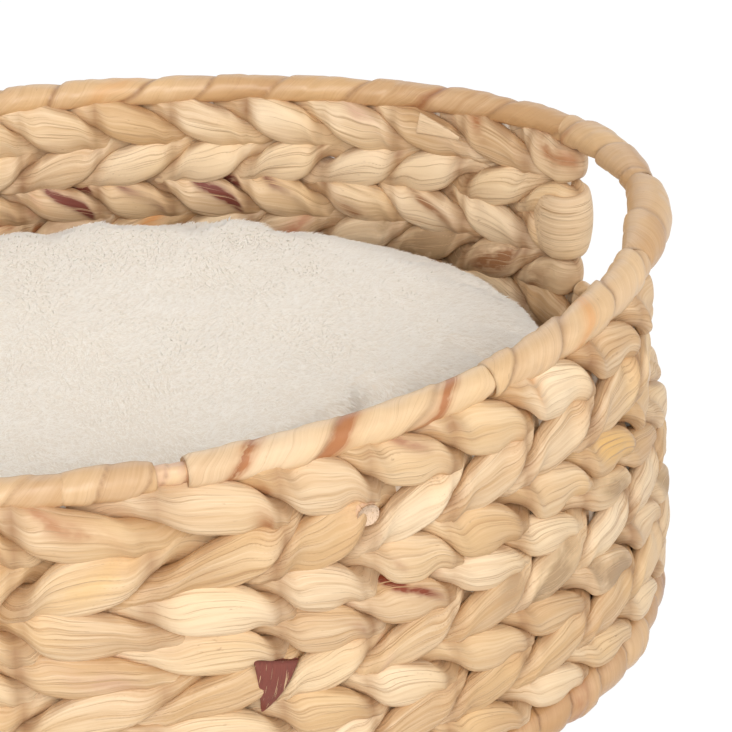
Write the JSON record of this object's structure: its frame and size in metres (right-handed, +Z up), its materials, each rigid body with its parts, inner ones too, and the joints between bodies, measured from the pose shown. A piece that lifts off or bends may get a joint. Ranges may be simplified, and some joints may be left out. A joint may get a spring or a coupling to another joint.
{
  "type": "wicker pet bed basket",
  "caption": "Oval pet bed basket of twined leaf strands on a wire frame, with a wrapped rim, a hand opening at each end and a loose plush cushion.",
  "frame": {"origin": "under the centre of the oval, on the surface that the basket stands on", "axes": "+X along the oval toward one hand opening, +Y from the front to the back, +Z up"},
  "size_m": [0.5512, 0.3657, 0.2104],
  "materials": {
    "wire": "cream lacquered steel wire",
    "twined_leaf": "dried water hyacinth leaf, satin",
    "wrapped_leaf": "dried water hyacinth leaf, smooth satin",
    "floor_leaf": "dried water hyacinth leaf, satin",
    "plush": "short ivory plush fleece",
    "underside_cloth": "plain woven cloth",
    "fibre_filling": "loose polyester fibre"
  },
  "bodies": {
    "basket": {"back_weave_row_1": "twined_leaf", "back_weave_row_2": "twined_leaf", "back_weave_row_3": "twined_leaf", "back_weave_row_4": "twined_leaf", "base_straps": "floor_leaf", "base_wires": "wire", "bottom_hoop": "wire", "bottom_wrap_back": "wrapped_leaf", "bottom_wrap_front": "wrapped_leaf", "bottom_wrap_left": "wrapped_leaf", "bottom_wrap_right": "wrapped_leaf", "front_weave_row_1": "twined_leaf", "front_weave_row_2": "twined_leaf", "front_weave_row_3": "twined_leaf", "lower_weave_row_1_strand_a": "twined_leaf", "lower_weave_row_1_strand_b": "twined_leaf", "lower_weave_row_2_strand_a": "twined_leaf", "lower_weave_row_2_strand_b": "twined_leaf", "lower_weave_row_3_strand_a": "twined_leaf", "lower_weave_row_3_strand_b": "twined_leaf", "lower_weave_row_4_strand_a": "twined_leaf", "lower_weave_row_4_strand_b": "twined_leaf", "lower_weave_row_5_strand_a": "twined_leaf", "lower_weave_row_5_strand_b": "twined_leaf", "rim_wrap_back_left": "wrapped_leaf", "rim_wrap_back_right": "wrapped_leaf", "rim_wrap_front_glossy": "wrapped_leaf", "rim_wrap_front_left": "wrapped_leaf", "rim_wrap_front_right": "wrapped_leaf", "rim_wrap_front_thin": "wrapped_leaf", "rim_wrap_front_wrinkled": "wrapped_leaf", "rim_wrap_handle_left": "wrapped_leaf", "rim_wrap_handle_right_back": "wrapped_leaf", "rim_wrap_handle_right_front": "wrapped_leaf", "side_stakes": "wire", "sill_stakes": "wire", "sill_wrap_left": "wrapped_leaf", "sill_wrap_right": "wrapped_leaf", "top_hoop": "wire"},
    "cushion": {"cushion_cover_top": "plush", "cushion_cover_underside": "underside_cloth", "cushion_filling": "fibre_filling"}
  },
  "joints": [
    {"name": "cushion_lift", "type": "slide", "parent": "basket", "child": "cushion", "axis": [0, 0, 1], "range_m": [0, 0.25]}
  ]
}
